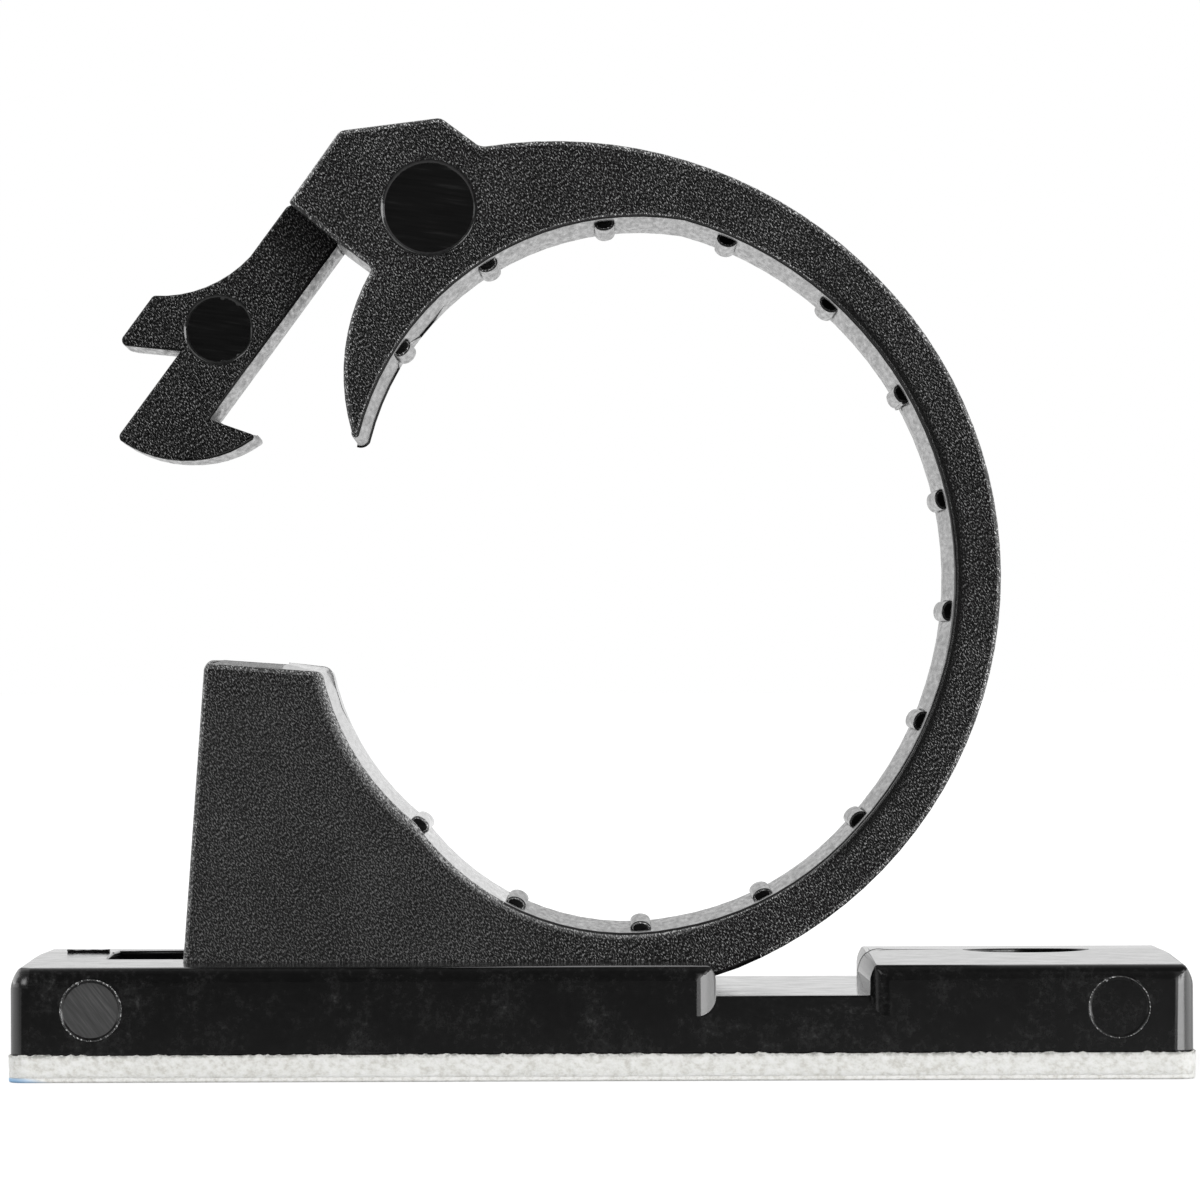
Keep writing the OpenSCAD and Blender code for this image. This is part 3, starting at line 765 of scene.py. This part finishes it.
def make_tape():
    """Foam strip with a torn, fuzzy cut all round."""
    mesh = merged_copy("foam_tape")
    for step in range(1, int(2 * TAPE_HALF / TAPE_STEP)):
        slice_across(mesh, X_AXIS, -TAPE_HALF + step * TAPE_STEP)
    for y in (-TAPE_RIM, TAPE_RIM):
        slice_across(mesh, Y_AXIS, y)
    for z in TAPE_LEVELS:
        slice_across(mesh, Z_AXIS, z)
    mesh.normal_update()
    moves = []
    for vert in mesh.verts:
        sides = [face.normal for face in vert.link_faces if abs(face.normal.z) < 0.5]
        torn = abs(vert.co.y) > TORN_Y or abs(vert.co.x) > TORN_X
        if not sides or not torn:
            continue
        out = sum(sides, Vector()).normalized()
        rough = 0.5 * noise.noise(vert.co * 2.7) + 0.5 * noise.noise(vert.co * 8.3)
        move = out * FUZZ * rough
        if vert.co.z > TAPE_TOP - SLACK:
            tuft = 0.2 + 0.6 * noise.noise(vert.co * 1.9) + 1.2 * noise.noise(vert.co * 7.7)
            move += out * BULGE + Vector((0.0, 0.0, TUFT * max(tuft, 0.0)))
        moves.append((vert, move))
    for vert, move in moves:
        vert.co += move
    finish_piece(mesh, "foam_strip", "foam_tape", [foam_finish()])


def make_film():
    """Thin film with softened lower edges."""
    mesh = merged_copy("release_liner")
    rims = [edge for edge in mesh.edges if is_sharp(edge) and max(vert.co.z for vert in edge.verts) < SLACK]
    round_edges(mesh, rims, FILM_ROUNDING, 3, clamp_overlap=True)
    finish_piece(mesh, "release_film", "release_liner", [film_finish()])


# Studio

def floor_finish():
    """White to the camera, with the clamp's soft shadow, and throwing back more light towards the rear."""
    material = bpy.data.materials.new("white_floor")
    material.use_nodes = True
    tree = material.node_tree
    tree.nodes.clear()
    place = millimetres(tree)
    out = add_node(tree, "ShaderNodeOutputMaterial")
    paper = add_node(tree, "ShaderNodeBsdfDiffuse")
    veil = add_node(tree, "ShaderNodeBsdfDiffuse", {"Color": (0.25, 0.25, 0.25, 1.0)})
    glow = add_node(tree, "ShaderNodeEmission", {"Strength": 1.0})
    seen = add_node(tree, "ShaderNodeAddShader")
    mix = add_node(tree, "ShaderNodeMixShader")
    rays = add_node(tree, "ShaderNodeLightPath")
    to_rear = axis_share(tree, place, "Y", -60.0, 20.0)
    tree.links.new(ramp(tree, to_rear, [(0.0, 0.04), (0.5, 0.15), (1.0, 0.8)]), paper.inputs["Color"])
    from_clamp = distance_share(tree, place, (0.0, 0.0, 0.0), 20.0, 120.0)
    tree.links.new(ramp(tree, from_clamp, [(0.0, 0.86), (1.0, 1.0)]), glow.inputs["Color"])
    mirrored = math_node(tree, "MULTIPLY", rays.outputs["Is Glossy Ray"], to_rear)
    tree.links.new(math_node(tree, "MAXIMUM", rays.outputs["Is Camera Ray"], mirrored), mix.inputs["Fac"])
    tree.links.new(veil.outputs["BSDF"], seen.inputs[0])
    tree.links.new(glow.outputs["Emission"], seen.inputs[1])
    tree.links.new(paper.outputs["BSDF"], mix.inputs[1])
    tree.links.new(seen.outputs["Shader"], mix.inputs[2])
    tree.links.new(mix.outputs["Shader"], out.inputs["Surface"])
    return material


def make_floor():
    """Floor just under the clamp."""
    mesh = bmesh.new()
    bmesh.ops.create_grid(mesh, x_segments=1, y_segments=1, size=1.5)
    data = bpy.data.meshes.new("studio_floor")
    mesh.to_mesh(data)
    mesh.free()
    data.materials.append(floor_finish())
    floor = bpy.data.objects.new("studio_floor", data)
    floor.location.z = -0.00001
    scene.collection.objects.link(floor)


def make_world():
    """White room: white behind the clamp, dimmer at its left and dark where the camera stands."""
    world = bpy.data.worlds.new("white_room")
    scene.world = world
    world.use_nodes = True
    tree = world.node_tree
    tree.nodes.clear()
    out = add_node(tree, "ShaderNodeOutputWorld")
    rays = add_node(tree, "ShaderNodeLightPath")
    place = add_node(tree, "ShaderNodeTexCoord")
    split = add_node(tree, "ShaderNodeSeparateXYZ")
    tree.links.new(place.outputs["Generated"], split.inputs["Vector"])
    lean = math_node(tree, "ADD", split.outputs["Y"], math_node(tree, "MULTIPLY", split.outputs["X"], 0.3))
    depth = add_node(tree, "ShaderNodeMapRange", {"From Min": -1.0, "From Max": 1.0})
    tree.links.new(lean, depth.inputs["Value"])
    room = ramp(tree, depth.outputs["Result"], [(0.0, 0.06), (0.2, 0.1), (0.5, 0.4), (0.7, 1.0)])
    ambient = add_node(tree, "ShaderNodeBackground", {"Color": (1.0, 1.0, 1.0, 1.0), "Strength": 0.3})
    mirrored = add_node(tree, "ShaderNodeBackground", {"Strength": 1.0})
    tree.links.new(room, mirrored.inputs["Color"])
    white = add_node(tree, "ShaderNodeBackground", {"Color": (1.0, 1.0, 1.0, 1.0), "Strength": 1.0})
    lit = add_node(tree, "ShaderNodeMixShader")
    shown = add_node(tree, "ShaderNodeMixShader")
    seen = math_node(tree, "MAXIMUM", rays.outputs["Is Camera Ray"], rays.outputs["Is Transmission Ray"])
    tree.links.new(rays.outputs["Is Glossy Ray"], lit.inputs["Fac"])
    tree.links.new(ambient.outputs["Background"], lit.inputs[1])
    tree.links.new(mirrored.outputs["Background"], lit.inputs[2])
    tree.links.new(seen, shown.inputs["Fac"])
    tree.links.new(lit.outputs["Shader"], shown.inputs[1])
    tree.links.new(white.outputs["Background"], shown.inputs[2])
    tree.links.new(shown.outputs["Shader"], out.inputs["Surface"])


def softbox(name, place, width, height, power):
    """Area lamp turned towards the middle of the loop, with its power in watts."""
    light = bpy.data.lights.new(name, "AREA")
    light.shape = "RECTANGLE"
    light.size = width
    light.size_y = height
    light.energy = power
    lamp = bpy.data.objects.new(name, light)
    lamp.location = place
    lamp.rotation_mode = "QUATERNION"
    lamp.rotation_quaternion = (LOOP_CENTRE * MM - Vector(place)).to_track_quat("-Z", "Y")
    lamp.visible_camera = False
    scene.collection.objects.link(lamp)


def make_camera():
    """View from the front, square on to the clamp and a touch off level."""
    camera = bpy.data.cameras.new("front_camera")
    camera.sensor_width = SENSOR_WIDTH
    camera.lens = FOCAL_LENGTH
    camera.shift_x = SHIFT_RIGHT / PHOTO_WIDTH
    camera.shift_y = SHIFT_UP / PHOTO_WIDTH
    camera.clip_start = 0.01
    camera.clip_end = 10.0
    view = bpy.data.objects.new("front_camera", camera)
    view.location = [value * MM for value in CAMERA_AT]
    view.rotation_euler = (math.radians(90.0), math.radians(CAMERA_ROLL), 0.0)
    scene.collection.objects.link(view)
    scene.camera = view


make_clamp_body()
make_tape()
make_film()
make_floor()
make_world()
softbox("right_low_strip", (0.28, -0.35, 0.06), 0.42, 0.12, 1.3)
softbox("right_rear_strip", (0.45, 0.04, 0.07), 0.45, 0.14, 0.4)
softbox("front_softbox", (0.2, -0.32, 0.28), 0.25, 0.25, 0.3)
softbox("left_rear_strip", (-0.45, 0.04, 0.07), 0.45, 0.14, 0.3)
softbox("left_fill", (-0.26, -0.33, 0.24), 0.2, 0.2, 0.5)
softbox("rear_left_softbox", (-0.34, 0.14, 0.22), 0.3, 0.3, 0.9)
make_camera()
